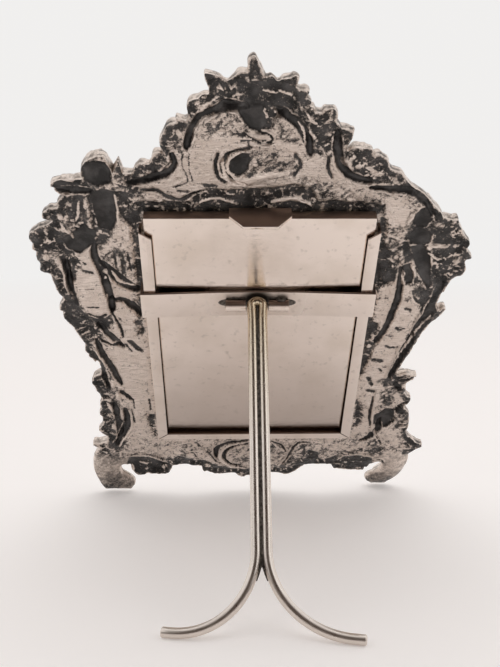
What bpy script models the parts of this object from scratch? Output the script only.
"""Easel photograph frame: a cast rococo border with a sheet-metal photograph holder and a wire leg.

Units are metres, +Z is up and the back of the frame faces +Y. The origin is on the floor, in the
middle of the ground the part covers. Most pieces are drawn upright in the frame's own axes (x
across, y out of the back, z up the frame) and leaned back by one empty. Left and right are as seen
from behind, where +X is on the left. Lengths below are in millimetres.
"""
import math

import bmesh
import bpy
import numpy as np
from mathutils import Matrix, Vector
from mathutils.geometry import delaunay_2d_cdt

MM = 0.001

# Stance
LEAN = math.radians(38.0)            # frame back from upright
OPENING = math.radians(70.4)         # leg away from the frame
LEG_SWING = OPENING - LEAN           # leg away from upright

# Holder: a channel of three rails on the back of the border
GAP = 0.3                            # clearance between neighbouring pieces
SHEET = 0.6                          # sheet metal
WALL = 0.7                           # rail side walls
HOLDER_HALF = 35.0                   # half the width over the rails
HOLDER_BOTTOM = 39.8
HOLDER_TOP = 137.7
RAIL_DEPTH = 5.4                     # rails' outer face from the back of the border
LIP = 3.5                            # side rails' lip, over the wall
BOTTOM_LIP = 2.9
CHAMFER = 2.6                        # drop of the side rails' sloping top

# What the holder holds, from the border outwards
GLASS = 1.0
CARD = 0.4
BOARD = 0.7
CONTENTS_HALF = 33.2
CONTENTS_TOP = 140.8
PLATE_HALF = 33.5
PLATE_TOP = 141.9
PLATE_FACE = 3.9                     # outer face of the rear plate
PLATE_FOLD_END = 0.5                 # the fold on top reaches this near the border
SEATING = 0.4                        # play between the contents and the bottom rail
TAB_HALF = 9.0
TAB_TIP_HALF = 5.0
TAB_REACH = 9.0
TAB_SHOULDER = 4.2
TAB_THICK = 0.9

# Cross band with the hinge
BAND_LOW = 104.3
BAND_HIGH = 114.2
BAND_THICK = 0.8
BAND_BOW = 1.1                       # the middle is bowed in towards the plate
HINGE_HEIGHT = 110.5
HINGE_SIDE = 0.4                     # hinge and leg sit a little to the left
TUBE_R = 1.8
BORE_R = 0.9
PIN_R = 0.65
PIN_PROUD = 0.2                      # pin beyond each tube
KNUCKLE_R = 1.5
HINGE_HALF = 9.7
KNUCKLE_HALF = 3.1
TUBE_INNER_END = 3.55                # side tubes start here, measured from the hinge's middle

# Leg: one wire bent double
WIRE_R = 1.45
STRAND = 1.53                        # centre of each strand from the middle of the leg
EYE = 1.75                           # the same at the bend
BEND_DEPTH = 0.85                    # centre of the bend below the axis; its end stops on the band
EYE_DEPTH = 7.0                      # strands are parallel below this
LEG_OFFSET = 1.5                     # strands stand this far behind the hinge axis
SPLAY_R = 22.5
SPLAY_HALF = 26.5
SPLAY_TWIST = 2.8                    # the splayed ends are bent a little out of line
WIRE_SINK = 0.15                     # flat filed on the underside of the ends
WIRE_SIDES = 16
LEG_SEAT_HALF = 6.0                  # length of the hollow for the knuckle, either side

# Border
APERTURE_HALF = 29.0
APERTURE_LOW = 46.0
APERTURE_HIGH = 137.0
EDGE_THICK = 2.2
GRID = 3.6                           # spacing of the casting's inner points
ARC_STEP = 2.2                       # longest straight stretch along its outline
SEAT_HALF = 37.0                     # flat of the back under the holder
SEAT_LOW = 38.0
SEAT_HIGH = 144.5
LEFT_FOOT_BACK = 3.4                 # left foot curls out behind the back plane
RIGHT_FOOT_BACK = -1.8
FOOT_TOP = 17.0
FOOT_SIDE = 44.0                     # the feet lie outside this

# The border's outline, clockwise from the front: x, z, bulge of the stretch to the next point.
# A bulge of 1 is a half circle outwards, and a negative bulge is an arc inwards.
CREST = [
    (2.4, 190.0, 0.3), (3.9, 188.8, 0), (4.0, 185.5, 0.5), (7.5, 183.5, -0.2), (9.0, 182.2, -0.2),
    (10.8, 183.5, 0.3), (13.0, 184.4, 0), (15.1, 185.2, 0), (14.5, 182.0, -0.2), (14.0, 179.0, 0.4),
    (16.8, 177.7, 0.5), (20.0, 175.0, 0), (19.4, 172.6, -0.3), (20.3, 171.0, -0.2), (22.9, 172.0, 0),
    (22.6, 170.4, 0.4), (26.4, 168.0, 0.2), (27.6, 163.0, 0), (26.3, 160.4, -0.3), (28.0, 160.8, 0.5),
    (30.0, 158.2, 0), (31.0, 156.6, 0.5), (35.0, 156.0, 0), (35.6, 154.2, -0.3), (38.6, 154.0, 0),
    (39.4, 158.5, 0), (41.2, 154.6, 0), (43.0, 160.0, 0.25), (48.3, 158.4, 0.35), (49.4, 152.2, 0)]
LEFT_SIDE = [
    (57.6, 151.5, 0.9), (58.1, 148.6, 0), (56.0, 146.6, -0.3), (57.4, 144.8, 0.3), (57.6, 142.4, 0.2),
    (59.3, 142.0, 0.4), (61.5, 141.0, 0.5), (62.9, 138.4, 0), (60.0, 137.6, 0), (61.4, 136.0, 0.15),
    (66.5, 133.6, 0.4), (67.9, 130.4, 0.1), (67.1, 128.8, 0.7), (66.4, 125.6, 0), (67.0, 124.0, 0.8),
    (66.4, 121.2, -0.2), (66.8, 119.6, 0.5), (66.0, 117.0, 0), (63.9, 116.4, 0), (62.9, 110.0, 0),
    (61.0, 105.2, 0), (63.0, 103.0, 0.2), (62.8, 100.6, -0.3), (61.2, 99.4, 0), (62.4, 97.0, 0),
    (60.2, 93.6, 0), (59.0, 90.6, 0), (56.8, 85.0, 0), (57.4, 81.6, 0.3), (56.6, 79.0, -0.1),
    (53.4, 74.4, -0.1), (53.4, 69.2, 0.3), (57.1, 64.8, 0), (54.2, 55.5, 0.3), (55.0, 50.0, 0.4),
    (55.0, 45.0, 0.2), (55.2, 41.6, 0), (57.5, 37.4, 0), (54.5, 34.0, -0.3), (55.2, 30.4, 0),
    (60.5, 28.2, 0), (58.0, 26.4, 0.15)]
LEFT_FOOT = [
    (61.9, 15.6, 0.15), (60.8, 7.2, 0.15), (57.2, 0.8, 0), (56.0, -1.5, 0), (49.6, -1.5, 0),
    (47.4, 3.0, 0.5), (47.2, 7.2, 0), (49.5, 9.3, -0.3), (51.6, 12.4, -0.5), (49.5, 15.4, -0.3)]
BOTTOM_EDGE = [
    (47.4, 11.8, 0), (45.5, 9.4, 0.2), (38.4, 10.2, 0.3), (35.2, 9.4, 0.4), (32.2, 12.0, 0.2),
    (31.4, 14.8, 0), (28.6, 15.6, 0), (20.0, 14.6, 0), (19.4, 11.6, 0.2), (16.5, 10.0, 0.1),
    (7.0, 9.2, 0), (4.6, 7.5, 0), (0.5, 7.5, 0.1), (-7.6, 9.3, 0), (-12.6, 8.8, 0.15),
    (-19.0, 12.6, 0), (-20.0, 15.2, 0), (-30.5, 15.8, 0), (-32.0, 11.8, 0), (-45.4, 10.9, 0)]
RIGHT_FOOT = [
    (-47.6, 15.0, -0.4), (-50.2, 15.2, -0.2), (-51.0, 11.3, -0.2), (-46.6, 5.6, 0.5), (-47.6, -1.0, 0),
    (-48.6, -3.2, 0), (-53.0, -3.2, 0), (-55.8, 1.0, 0.15), (-60.2, 12.0, 0.15)]
RIGHT_SIDE = [
    (-60.1, 20.4, 0), (-64.3, 26.1, 0), (-59.4, 31.4, -0.2), (-57.2, 36.4, 0.1), (-57.0, 44.4, 0.3),
    (-54.4, 49.4, 0), (-56.0, 54.2, 0), (-53.2, 58.8, 0.4), (-52.3, 62.8, 0.2), (-53.6, 64.8, 0),
    (-56.5, 67.6, 0), (-53.1, 68.8, 0), (-49.4, 67.2, -0.2), (-49.8, 71.4, 0), (-53.7, 85.3, 0),
    (-57.0, 94.4, 0), (-59.6, 97.6, 0), (-61.0, 100.0, 0), (-59.2, 100.0, -0.4), (-57.8, 102.0, 0),
    (-59.5, 111.0, -0.1), (-61.0, 114.0, 0), (-63.4, 115.6, 0), (-64.2, 117.6, 0), (-63.3, 121.6, 0),
    (-65.2, 122.6, 0), (-62.9, 126.2, 0), (-63.5, 128.4, 0), (-61.0, 132.2, 0), (-58.6, 136.4, 0.4),
    (-56.8, 137.4, -0.1), (-53.6, 138.6, 0.1), (-50.6, 142.8, 0.1), (-45.8, 147.7, 0.1),
    (-42.6, 150.0, 0), (-40.4, 153.0, 0.3), (-37.2, 155.2, 0)]
RIGHT_CREST = [
    (-35.8, 156.0, 0.3), (-33.0, 160.2, 0.4), (-30.8, 159.8, 0), (-30.4, 161.7, 0.3), (-27.2, 162.4, 0.4),
    (-23.7, 161.2, -0.5), (-23.2, 163.0, 0), (-24.6, 166.0, 0), (-24.9, 168.4, 0), (-21.0, 168.6, 0.2),
    (-19.6, 171.0, 0), (-20.0, 173.2, 0.6), (-16.2, 174.4, 0), (-15.6, 173.2, -0.2), (-14.0, 173.6, 0.5),
    (-12.4, 175.4, 0), (-12.7, 176.8, 0.4), (-10.8, 177.6, 0), (-12.2, 179.8, 0.4), (-9.6, 180.2, -0.2),
    (-8.5, 181.2, 0), (-9.1, 184.0, 0.6), (-7.0, 183.6, 0.4), (-4.2, 182.4, -0.3), (-3.2, 182.4, 0.8),
    (-0.7, 183.4, 0), (0.9, 187.0, 0)]
OUTLINE = CREST + LEFT_SIDE + LEFT_FOOT + BOTTOM_EDGE + RIGHT_FOOT + RIGHT_SIDE + RIGHT_CREST

# Raised ornament on the front: each scroll is an arc with a centre, radius, first and last angle
# (degrees, anticlockwise from the front), a half-width and a height.
SCROLLS = [
    (0.0, 150.0, 18.0, 20.0, 160.0, 4.0, 4.2), (6.7, 156.0, 4.6, 0.0, 360.0, 2.6, 2.6),
    (24.0, 165.0, 9.0, -60.0, 120.0, 4.0, 3.6), (-22.0, 166.0, 9.0, 60.0, 240.0, 4.0, 3.6),
    (64.0, 112.0, 22.0, 140.0, 250.0, 4.5, 4.2), (-70.0, 98.0, 24.0, -60.0, 40.0, 4.5, 4.2),
    (72.0, 60.0, 24.0, 140.0, 215.0, 4.0, 3.6), (-72.0, 48.0, 22.0, -35.0, 45.0, 4.0, 3.6),
    (6.0, 22.0, 8.5, 0.0, 360.0, 3.0, 3.4), (-15.0, 20.0, 8.0, 0.0, 200.0, 3.0, 3.4),
    (26.0, 22.0, 10.0, 20.0, 160.0, 3.0, 3.0), (-38.0, 22.0, 9.0, 10.0, 170.0, 3.0, 3.0)]
# Bosses: centre, half-width and height of each rounded mass
BOSSES = [
    (0.0, 176.0, 9.0, 4.6), (45.5, 154.5, 6.0, 5.0), (45.0, 141.0, 8.0, 5.0), (53.0, 131.0, 8.0, 4.0),
    (-49.0, 138.0, 6.5, 4.6), (-48.5, 127.0, 8.5, 5.0), (-56.0, 122.0, 7.0, 3.6), (57.0, 96.0, 5.5, 3.4),
    (-53.0, 100.0, 5.5, 3.0), (-49.0, 43.0, 6.5, 3.6), (50.0, 50.0, 5.5, 3.4), (56.0, 14.0, 6.0, 3.0),
    (-55.0, 12.0, 6.0, 3.0), (0.0, 188.0, 4.0, 1.2), (-33.0, 152.0, 7.0, 3.0), (32.0, 152.0, 7.0, 3.0)]

# name: (red, green, blue), metallic, roughness
FINISHES = {
    "oxidised_silver": ((0.34, 0.32, 0.30), 1.0, 0.42),
    "sheet_silver": ((0.80, 0.76, 0.71), 1.0, 0.24),
    "silver_wire": ((0.82, 0.77, 0.66), 1.0, 0.20),
    "steel_pin": ((0.46, 0.44, 0.42), 1.0, 0.35),
    "board": ((0.24, 0.14, 0.08), 0.0, 0.85),
    "card": ((0.83, 0.78, 0.68), 0.0, 0.80),
    "glass": ((0.90, 0.95, 0.94), 0.0, 0.04)}


def clear_scene():
    for item in list(bpy.data.objects):
        bpy.data.objects.remove(item, do_unlink=True)


def material(name):
    colour, metallic, roughness = FINISHES[name]
    made = bpy.data.materials.get(name) or bpy.data.materials.new(name)
    made.use_nodes = True
    made.diffuse_color = (*colour, 1.0)
    shader = made.node_tree.nodes["Principled BSDF"]
    shader.inputs["Base Color"].default_value = (*colour, 1.0)
    shader.inputs["Metallic"].default_value = metallic
    shader.inputs["Roughness"].default_value = roughness
    if name == "glass":
        shader.inputs["Transmission Weight"].default_value = 1.0
    return made


def add_object(name, mesh, finish, parent):
    """One named sub-part from a mesh drawn in its parent's axes."""
    made = bpy.data.objects.new(name, mesh)
    made.data.materials.append(material(finish))
    made.parent = parent
    bpy.context.scene.collection.objects.link(made)
    return made


def add_empty(name, location, turn):
    made = bpy.data.objects.new(name, None)
    made.location = Vector(location) * MM
    made.rotation_euler = (turn, 0.0, 0.0)
    bpy.context.scene.collection.objects.link(made)
    return made


def finish_mesh(bm, name, smooth_angle=None):
    """Face every side outwards and turn the bmesh, drawn in millimetres, into a mesh in metres."""
    bmesh.ops.recalc_face_normals(bm, faces=bm.faces)
    mesh = bpy.data.meshes.new(name)
    bm.to_mesh(mesh)
    bm.free()
    mesh.transform(Matrix.Scale(MM, 4))
    if smooth_angle:
        mesh.shade_smooth()
        mesh.set_sharp_from_angle(angle=math.radians(smooth_angle))
    return mesh


def extrude_outline(points, step):
    """A closed solid from a flat outline of 3-D points, pushed along one step."""
    bm = bmesh.new()
    face = bm.faces.new([bm.verts.new(point) for point in points])
    moved = bmesh.ops.extrude_face_region(bm, geom=[face])["geom"]
    corners = [item for item in moved if isinstance(item, bmesh.types.BMVert)]
    bmesh.ops.translate(bm, verts=corners, vec=step)
    return bm


def box(low, high):
    """A plain block between two corners."""
    base = [(low[0], low[1], low[2]), (high[0], low[1], low[2]),
            (high[0], high[1], low[2]), (low[0], high[1], low[2])]
    return extrude_outline(base, (0.0, 0.0, high[2] - low[2]))


def slice_off(bm, point, normal):
    """Cut away everything on the normal's side of a plane and close the cut."""
    parts = bm.verts[:] + bm.edges[:] + bm.faces[:]
    cut = bmesh.ops.bisect_plane(bm, geom=parts, plane_co=point, plane_no=normal, clear_outer=True)
    edges = [item for item in cut["geom_cut"] if isinstance(item, bmesh.types.BMEdge)]
    bmesh.ops.holes_fill(bm, edges=edges, sides=0)


def tube_along_x(left, right, outer, bore, sides=28):
    """A hollow tube round the x axis."""
    bm = bmesh.new()
    rings = []
    for x, radius in ((left, outer), (right, outer), (right, bore), (left, bore)):
        turns = [2.0 * math.pi * i / sides for i in range(sides)]
        rings.append([bm.verts.new((x, radius * math.cos(a), radius * math.sin(a))) for a in turns])
    for ring, following in zip(rings, rings[1:] + rings[:1]):
        for i in range(sides):
            after = (i + 1) % sides
            bm.faces.new((ring[i], ring[after], following[after], following[i]))
    return bm


def rod_along_x(left, right, radius, sides=24):
    """A solid rod round the x axis."""
    turns = [2.0 * math.pi * i / sides for i in range(sides)]
    ends = [(left, radius * math.cos(a), radius * math.sin(a)) for a in turns]
    return extrude_outline(ends, (right - left, 0.0, 0.0))


# ---------------------------------------------------------------- cast border

def outline_points():
    """The outline with its arcs drawn as short straight stretches."""
    points = []
    for (x, z, bulge), (end_x, end_z, _) in zip(OUTLINE, OUTLINE[1:] + OUTLINE[:1]):
        start = Vector((x, z))
        chord = Vector((end_x, end_z)) - start
        sideways = Vector((-chord.y, chord.x))
        steps = max(1, math.ceil(chord.length / ARC_STEP), 3 if abs(bulge) > 0.25 else 1)
        for i in range(steps):
            t = i / steps
            rise = bulge * 0.5 * 4.0 * t * (1.0 - t)
            points.append(start + chord * t + sideways * rise)
    return points


def aperture_points():
    """The sight opening, its long sides split for even triangles."""
    corners = [(-APERTURE_HALF, APERTURE_LOW), (APERTURE_HALF, APERTURE_LOW),
               (APERTURE_HALF, APERTURE_HIGH), (-APERTURE_HALF, APERTURE_HIGH)]
    points = []
    for start, end in zip(corners, corners[1:] + corners[:1]):
        start, end = Vector(start), Vector(end)
        steps = round((end - start).length / (2.0 * GRID))
        points += [start.lerp(end, i / steps) for i in range(steps)]
    return points


def distance_to_outline(point, outline):
    """Shortest way from a point to the outline, and whether the point is inside."""
    near = 1e9
    inside = False
    for a, b in zip(outline, outline[1:] + outline[:1]):
        along = b - a
        t = max(0.0, min(1.0, (point - a).dot(along) / max(along.length_squared, 1e-9)))
        near = min(near, (point - a - along * t).length)
        if (a.y > point.y) != (b.y > point.y):
            if point.x < a.x + (point.y - a.y) * along.x / along.y:
                inside = not inside
    return near, inside


def grid_points(outline):
    """Staggered inner points that keep clear of both edges of the casting."""
    points = []
    clear = 0.45 * GRID
    rows = np.arange(0.0, 192.0, GRID * 0.87)
    for row, z in enumerate(rows):
        for x in np.arange(-68.0, 68.0, GRID) + (row % 2) * GRID / 2:
            point = Vector((float(x), float(z)))
            in_hole = abs(x) < APERTURE_HALF + clear and APERTURE_LOW - clear < z < APERTURE_HIGH + clear
            near, inside = distance_to_outline(point, outline)
            if inside and near > clear and not in_hole:
                points.append(point)
    return points


def relief(x, z):
    """Height of the front ornament above the border's ground."""
    height = 0.0
    for cx, cz, radius, first, last, half, rise in SCROLLS:
        angle = math.degrees(math.atan2(z - cz, x - cx))
        angle = first + (angle - first) % 360.0
        if angle <= last:
            away = abs(math.hypot(x - cx, z - cz) - radius) / half
            height = max(height, rise * math.sqrt(max(0.0, 1.0 - away * away)))
    for cx, cz, half, rise in BOSSES:
        away = math.hypot(x - cx, z - cz) / half
        height = max(height, rise * math.sqrt(max(0.0, 1.0 - away * away)))
    return height


def back_of_border(x, z, near):
    """The back's depth: flat under the holder, hollow behind the ornament, and bent at the feet."""
    if abs(x) < SEAT_HALF and SEAT_LOW < z < SEAT_HIGH:
        return 0.0
    depth = -0.45 * relief(x, z) * min(1.0, near / 4.0)
    foot = max(0.0, min(1.0, (FOOT_TOP - z) / FOOT_TOP)) ** 1.5
    if x > FOOT_SIDE:
        depth += LEFT_FOOT_BACK * foot
    if x < -FOOT_SIDE:
        depth += RIGHT_FOOT_BACK * foot
    return depth


def front_of_border(x, z, near):
    """The front's depth: the ground falls away a little towards the edge and carries the relief."""
    depth = -EDGE_THICK - 1.2 * min(1.0, near / 6.0) - relief(x, z) * min(1.0, 0.35 + near / 5.0)
    if abs(x) > FOOT_SIDE and z < FOOT_TOP:
        depth = min(depth, back_of_border(x, z, near) - EDGE_THICK)
    return depth


def cast_frame(parent):
    """One casting: a triangulated front and back joined round the outline and the aperture."""
    outline = outline_points()
    hole = aperture_points()
    points = outline + hole + grid_points(outline)
    count = len(outline)
    rim = [(i, (i + 1) % count) for i in range(count)]
    sight = [(count + i, count + (i + 1) % len(hole)) for i in range(len(hole))]
    flat, _, faces, _, _, _ = delaunay_2d_cdt(points, rim + sight, [], 0, 1e-5)
    bm = bmesh.new()
    sheets = []
    for surface in (front_of_border, back_of_border):
        sheet = []
        for point in flat:
            near = distance_to_outline(point, outline)[0]
            sheet.append(bm.verts.new((point.x, surface(point.x, point.y, near), point.y)))
        sheets.append(sheet)
    for face in faces:
        middle = sum((flat[i] for i in face), Vector((0.0, 0.0))) / len(face)
        in_hole = abs(middle.x) < APERTURE_HALF and APERTURE_LOW < middle.y < APERTURE_HIGH
        if distance_to_outline(middle, outline)[1] and not in_hole:
            bm.faces.new([sheets[0][i] for i in face])
            bm.faces.new([sheets[1][i] for i in reversed(face)])
    loose = [vert for vert in bm.verts if not vert.link_faces]
    bmesh.ops.delete(bm, geom=loose, context="VERTS")
    pair = {sheets[0][i]: sheets[1][i] for i in range(len(flat)) if sheets[0][i].is_valid}
    for edge in [edge for edge in bm.edges if edge.is_boundary and edge.verts[0] in pair]:
        one, two = edge.verts
        bm.faces.new((one, two, pair[two], pair[one]))
    bmesh.ops.recalc_face_normals(bm, faces=bm.faces)
    slice_off(bm, (0.0, 0.0, 0.0), (0.0, math.sin(LEAN), -math.cos(LEAN)))
    return add_object("cast_frame", finish_mesh(bm, "cast_frame", 40.0), "oxidised_silver", parent)


# ---------------------------------------------------------------- holder

def mitre(side):
    """The plane of the lower corner joint: from the outer corner to the lips' inner corner."""
    outer = Vector((side * HOLDER_HALF, 0.0, HOLDER_BOTTOM))
    inner = Vector((side * (HOLDER_HALF - LIP), 0.0, HOLDER_BOTTOM + BOTTOM_LIP))
    along = (inner - outer).normalized()
    down = Vector((-side * along.z, 0.0, side * along.x))
    if down.z > 0.0:
        down = -down
    return outer, down


def side_rail(name, side, parent):
    """Angle strip: a wall standing on the border and a lip over the plate."""
    outer = HOLDER_HALF
    section = [(outer, GAP), (outer, RAIL_DEPTH), (outer - LIP, RAIL_DEPTH),
               (outer - LIP, RAIL_DEPTH - SHEET), (outer - WALL, RAIL_DEPTH - SHEET), (outer - WALL, GAP)]
    points = [(side * x, y, HOLDER_BOTTOM) for x, y in section]
    bm = extrude_outline(points, (0.0, 0.0, HOLDER_TOP - HOLDER_BOTTOM))
    corner, down = mitre(side)
    slice_off(bm, corner - down * GAP / 2, down)
    top = (side * outer, 0.0, HOLDER_TOP)
    slice_off(bm, top, Vector((-side * CHAMFER, 0.0, LIP)).normalized())
    return add_object(name, finish_mesh(bm, name), "sheet_silver", parent)


def bottom_rail(parent):
    """Angle strip along the bottom, mitred to the side rails."""
    low = HOLDER_BOTTOM
    section = [(GAP, low), (RAIL_DEPTH, low), (RAIL_DEPTH, low + BOTTOM_LIP),
               (RAIL_DEPTH - SHEET, low + BOTTOM_LIP), (RAIL_DEPTH - SHEET, low + WALL), (GAP, low + WALL)]
    points = [(-HOLDER_HALF, y, z) for y, z in section]
    bm = extrude_outline(points, (2.0 * HOLDER_HALF, 0.0, 0.0))
    for side in (-1.0, 1.0):
        corner, down = mitre(side)
        slice_off(bm, corner + down * GAP / 2, -down)
    return add_object("bottom_rail", finish_mesh(bm, "bottom_rail"), "sheet_silver", parent)


def contents(parent):
    """Glass, picture card and backing board, one behind another from the border outwards."""
    low = HOLDER_BOTTOM + WALL + SEATING
    face = GAP
    for name, thick, finish in (("glass_pane", GLASS, "glass"), ("picture_card", CARD, "card"),
                                ("backing_board", BOARD, "board")):
        bm = box((-CONTENTS_HALF, face, low), (CONTENTS_HALF, face + thick, CONTENTS_TOP))
        add_object(name, finish_mesh(bm, name), finish, parent)
        face += thick + GAP


def rear_plate(parent):
    """Sheet that closes the holder, its top edge folded forwards over the contents."""
    low = HOLDER_BOTTOM + WALL + SEATING
    inner = PLATE_FACE - SHEET
    section = [(inner, low), (PLATE_FACE, low), (PLATE_FACE, PLATE_TOP),
               (PLATE_FOLD_END, PLATE_TOP), (PLATE_FOLD_END, PLATE_TOP - SHEET),
               (inner, PLATE_TOP - SHEET)]
    points = [(-PLATE_HALF, y, z) for y, z in section]
    bm = extrude_outline(points, (2.0 * PLATE_HALF, 0.0, 0.0))
    return add_object("rear_plate", finish_mesh(bm, "rear_plate"), "sheet_silver", parent)


def pull_tab(parent):
    """Finger tab on top of the plate's folded edge, with its corners cut off."""
    flat = [(-TAB_HALF, PLATE_FOLD_END), (-TAB_HALF, TAB_SHOULDER), (-TAB_TIP_HALF, TAB_REACH),
            (TAB_TIP_HALF, TAB_REACH), (TAB_HALF, TAB_SHOULDER), (TAB_HALF, PLATE_FOLD_END)]
    points = [(x, y, PLATE_TOP + GAP) for x, y in flat]
    bm = extrude_outline(points, (0.0, 0.0, TAB_THICK))
    return add_object("pull_tab", finish_mesh(bm, "pull_tab"), "sheet_silver", parent)


def cross_band(parent):
    """Strap over the rails, bowed in at the middle, its ends folded down outside the rails."""
    half = HOLDER_HALF + GAP
    inner = RAIL_DEPTH + GAP
    spans = [half * (i / 12.0 - 1.0) for i in range(25)]

    def bow(x):
        return BAND_BOW * max(0.0, 1.0 - (x / (half - 1.3)) ** 2) ** 1.5

    under = [(x, inner - bow(x)) for x in spans]
    over = [(x * (half + BAND_THICK) / half, inner + BAND_THICK - bow(x)) for x in spans]
    section = [(-half, GAP)] + under + [(half, GAP), (half + BAND_THICK, GAP)] + over[::-1]
    section.append((-half - BAND_THICK, GAP))
    points = [(x, y, BAND_LOW) for x, y in section]
    bm = extrude_outline(points, (0.0, 0.0, BAND_HIGH - BAND_LOW))
    return add_object("cross_band", finish_mesh(bm, "cross_band", 30.0), "sheet_silver", parent)


# ---------------------------------------------------------------- hinge and leg

def hinge_depth():
    """The axis stands clear of the band's bowed middle."""
    return RAIL_DEPTH + GAP + BAND_THICK - BAND_BOW + GAP + TUBE_R


def hinge_point():
    """The hinge axis in world axes."""
    y, z = hinge_depth(), HINGE_HEIGHT
    return (HINGE_SIDE, z * math.sin(LEAN) + y * math.cos(LEAN),
            z * math.cos(LEAN) - y * math.sin(LEAN))


def hinge_tubes(parent):
    """Two knuckles on the band with the pin through both."""
    axis = Matrix.Translation((HINGE_SIDE, hinge_depth(), HINGE_HEIGHT))
    for name, left, right in (("hinge_tube_right", -HINGE_HALF, -TUBE_INNER_END),
                              ("hinge_tube_left", TUBE_INNER_END, HINGE_HALF)):
        bm = tube_along_x(left, right, TUBE_R, BORE_R)
        bm.transform(axis)
        add_object(name, finish_mesh(bm, name, 40.0), "sheet_silver", parent)
    bm = rod_along_x(-HINGE_HALF - PIN_PROUD, HINGE_HALF + PIN_PROUD, PIN_R)
    bm.transform(axis)
    add_object("hinge_pin", finish_mesh(bm, "hinge_pin", 40.0), "steel_pin", parent)


def strand_points(reach):
    """Half of the wire's centre line as (side, down) pairs, from the splayed end up to the bend."""
    points = [(SPLAY_HALF, reach)]
    turns = 11
    for i in range(turns + 1):
        a = 0.5 * math.pi * i / turns
        points.append((STRAND + SPLAY_R * (1.0 - math.sin(a)), reach - SPLAY_R * (1.0 - math.cos(a))))
    for i in range(1, 5):
        t = i / 4.0
        points.append((STRAND + (EYE - STRAND) * t * t, EYE_DEPTH + (BEND_DEPTH - EYE_DEPTH) * t))
    for i in range(1, 5):
        a = 0.5 * math.pi * i / 5
        points.append((EYE * math.cos(a), BEND_DEPTH - EYE * math.sin(a)))
    return points


def leg_wire(parent):
    """Wire swept along both strands in the leg's own axes: x across, y behind, z up the leg."""
    height = hinge_point()[2] + LEG_OFFSET * math.sin(LEG_SWING)
    reach = (height - WIRE_R + WIRE_SINK) / math.cos(LEG_SWING)
    strand = strand_points(reach)
    path = [(side, down) for side, down in strand] + [(0.0, BEND_DEPTH - EYE)]
    path += [(-side, down) for side, down in reversed(strand)]
    line = []
    for side, down in path:
        away = max(0.0, abs(side) - STRAND) / (SPLAY_HALF - STRAND)
        shift = -math.copysign(SPLAY_TWIST, side) * away * away if down > EYE_DEPTH else 0.0
        line.append(Vector((side, LEG_OFFSET + shift * math.cos(LEG_SWING),
                            -down - shift * math.sin(LEG_SWING))))
    bm = bmesh.new()
    rings = []
    for i, centre in enumerate(line):
        along = (line[min(i + 1, len(line) - 1)] - line[max(i - 1, 0)]).normalized()
        across = along.cross(Vector((0.0, 1.0, 0.0))).normalized()
        out = across.cross(along).normalized()
        turns = [2.0 * math.pi * (k + 0.5) / WIRE_SIDES for k in range(WIRE_SIDES)]
        rings.append([bm.verts.new(centre + (across * math.cos(a) + out * math.sin(a)) * WIRE_R)
                      for a in turns])
    for ring, following in zip(rings, rings[1:]):
        for k in range(WIRE_SIDES):
            after = (k + 1) % WIRE_SIDES
            bm.faces.new((ring[k], ring[after], following[after], following[k]))
    bm.faces.new(rings[0])
    bm.faces.new(rings[-1])
    bmesh.ops.recalc_face_normals(bm, faces=bm.faces)
    floor = Vector((0.0, 0.0, -hinge_point()[2]))
    turn = Matrix.Rotation(-LEG_SWING, 3, "X")
    slice_off(bm, turn @ floor, turn @ Vector((0.0, 0.0, -1.0)))
    made = add_object("leg_wire", finish_mesh(bm, "leg_wire", 40.0), "silver_wire", parent)
    seat = rod_along_x(-LEG_SEAT_HALF, LEG_SEAT_HALF, KNUCKLE_R + GAP)
    cutter = add_object("leg_seat_cutter", finish_mesh(seat, "leg_seat_cutter"), "steel_pin", parent)
    cutter.hide_render = True
    cutter.display_type = "WIRE"
    notch = made.modifiers.new("seat", "BOOLEAN")
    notch.operation = "DIFFERENCE"
    notch.object = cutter
    return made


def leg_knuckle(parent):
    """The leg's own knuckle, which turns on the pin between the two tubes of the band."""
    bm = tube_along_x(-KNUCKLE_HALF, KNUCKLE_HALF, KNUCKLE_R, BORE_R)
    return add_object("leg_knuckle", finish_mesh(bm, "leg_knuckle", 40.0), "silver_wire", parent)


def centre_on_origin(axes):
    """Shift both sets of axes so the box round all pieces stands centred on the origin."""
    view = bpy.context.evaluated_depsgraph_get()
    corners = []
    for item in bpy.context.scene.objects:
        if item.type == "MESH" and not item.hide_render:
            made = item.evaluated_get(view)
            corners += [made.matrix_world @ vert.co for vert in made.data.vertices]
    low = Vector([min(corner[i] for corner in corners) for i in range(3)])
    high = Vector([max(corner[i] for corner in corners) for i in range(3)])
    middle = (low + high) / 2.0
    for item in axes:
        item.location -= Vector((middle.x, middle.y, low.z))


def build():
    clear_scene()
    frame_axes = add_empty("frame_axes", (0.0, 0.0, 0.0), -LEAN)
    leg_axes = add_empty("leg_axes", hinge_point(), LEG_SWING)
    cast_frame(frame_axes)
    side_rail("left_rail", 1.0, frame_axes)
    side_rail("right_rail", -1.0, frame_axes)
    bottom_rail(frame_axes)
    contents(frame_axes)
    rear_plate(frame_axes)
    pull_tab(frame_axes)
    cross_band(frame_axes)
    hinge_tubes(frame_axes)
    leg_wire(leg_axes)
    leg_knuckle(leg_axes)
    bpy.context.view_layer.update()
    centre_on_origin((frame_axes, leg_axes))


build()
